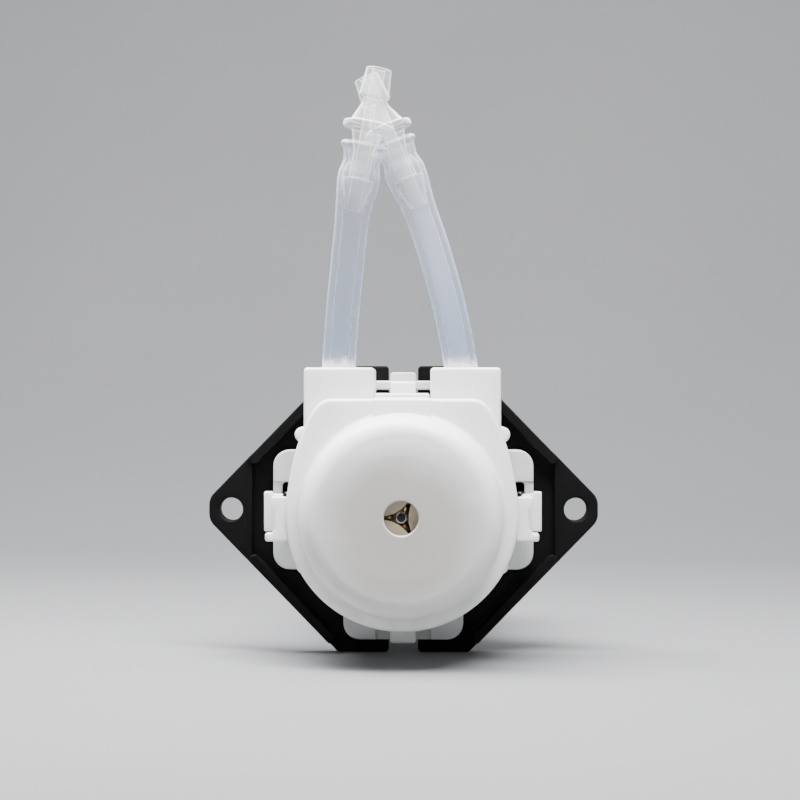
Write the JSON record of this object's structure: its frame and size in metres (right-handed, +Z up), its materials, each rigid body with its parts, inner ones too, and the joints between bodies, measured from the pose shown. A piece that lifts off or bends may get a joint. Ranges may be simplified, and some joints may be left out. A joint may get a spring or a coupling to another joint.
{
  "type": "peristaltic pump",
  "caption": "Small flange-mounted peristaltic pump with a DC motor, a clip-on head with rollers that squeeze a silicone tube, and barbed hose connectors.",
  "frame": {"origin": "centre of the two-hole flange's rear face, on the motor shaft's axis", "axes": "-Y is the front, where the head faces; +Y runs back along the motor; +Z is up, where the tube's ends leave; +X is to the right"},
  "size_m": [0.0568, 0.068, 0.0844],
  "materials": {
    "black_plastic": "moulded black plastic, semi-matt",
    "white_plastic": "moulded natural white plastic, slightly translucent",
    "cover_plastic": "moulded natural white plastic, a little greyer and warmer",
    "roller_plastic": "cream low-friction plastic",
    "silicone": "milky translucent silicone",
    "clear_plastic": "frosted natural plastic",
    "steel": "ground steel",
    "zinc_steel": "zinc-plated drawn steel",
    "bronze": "sintered bronze",
    "copper": "enamelled copper wire and copper bars",
    "brass": "tinned brass",
    "ferrite": "dull dark ferrite",
    "carbon": "pressed carbon",
    "cap_plastic": "moulded dark plastic"
  },
  "bodies": {
    "pump_body": {"mounting_plate": "black_plastic", "clip_bracket": "white_plastic", "head_housing": "white_plastic", "head_cover": "cover_plastic", "pump_tube": "silicone", "inlet_connector": "clear_plastic", "outlet_connector": "clear_plastic", "motor_can": "zinc_steel", "motor_end_cap": "cap_plastic", "front_bearing": "bronze", "rear_bearing": "bronze", "magnet_1": "ferrite", "magnet_2": "ferrite", "brush_1": "carbon", "brush_2": "carbon", "terminal_1": "brass", "terminal_2": "brass", "motor_screw_1": "zinc_steel", "motor_screw_2": "zinc_steel"},
    "motor_rotor": {"motor_shaft": "steel", "armature_core": "steel", "winding_1": "copper", "winding_2": "copper", "winding_3": "copper", "commutator": "copper"},
    "carrier": {"roller_carrier": "roller_plastic", "roller_pin_1": "steel", "roller_pin_2": "steel", "roller_pin_3": "steel"},
    "roller_one": {"roller_1": "roller_plastic"},
    "roller_two": {"roller_2": "roller_plastic"},
    "roller_three": {"roller_3": "roller_plastic"},
    "left_latch": {"latch_left": "white_plastic"},
    "right_latch": {"latch_right": "white_plastic"}
  },
  "joints": [
    {"name": "motor_shaft_spin", "type": "hinge", "parent": "pump_body", "child": "motor_rotor", "pos_m": [0, 0, 0], "axis": [0, -1, 0], "continuous": true},
    {"name": "carrier_spin", "type": "hinge", "parent": "pump_body", "child": "carrier", "pos_m": [0, 0, 0], "axis": [0, -1, 0], "continuous": true},
    {"name": "roller_1_spin", "type": "hinge", "parent": "carrier", "child": "roller_one", "pos_m": [0.00582, 0, 0], "axis": [0, -1, 0], "continuous": true},
    {"name": "roller_2_spin", "type": "hinge", "parent": "carrier", "child": "roller_two", "pos_m": [-0.00291, 0, 0.00504], "axis": [0, -1, 0], "continuous": true},
    {"name": "roller_3_spin", "type": "hinge", "parent": "carrier", "child": "roller_three", "pos_m": [-0.00291, 0, -0.00504], "axis": [0, -1, 0], "continuous": true},
    {"name": "latch_left_press", "type": "hinge", "parent": "pump_body", "child": "left_latch", "pos_m": [-0.01665, -0.0162, 0], "axis": [0, 0, -1], "range_deg": [0, 4], "stiffness_Nm_per_rad": 0.05},
    {"name": "latch_right_press", "type": "hinge", "parent": "pump_body", "child": "right_latch", "pos_m": [0.01665, -0.0162, 0], "axis": [0, 0, 1], "range_deg": [0, 4], "stiffness_Nm_per_rad": 0.05}
  ],
  "couplings": [
    {"joint": "carrier_spin", "follows": "motor_shaft_spin", "ratio": 0.08696},
    {"joint": "roller_1_spin", "follows": "motor_shaft_spin", "ratio": -0.19222},
    {"joint": "roller_2_spin", "follows": "motor_shaft_spin", "ratio": -0.19222},
    {"joint": "roller_3_spin", "follows": "motor_shaft_spin", "ratio": -0.19222}
  ]
}
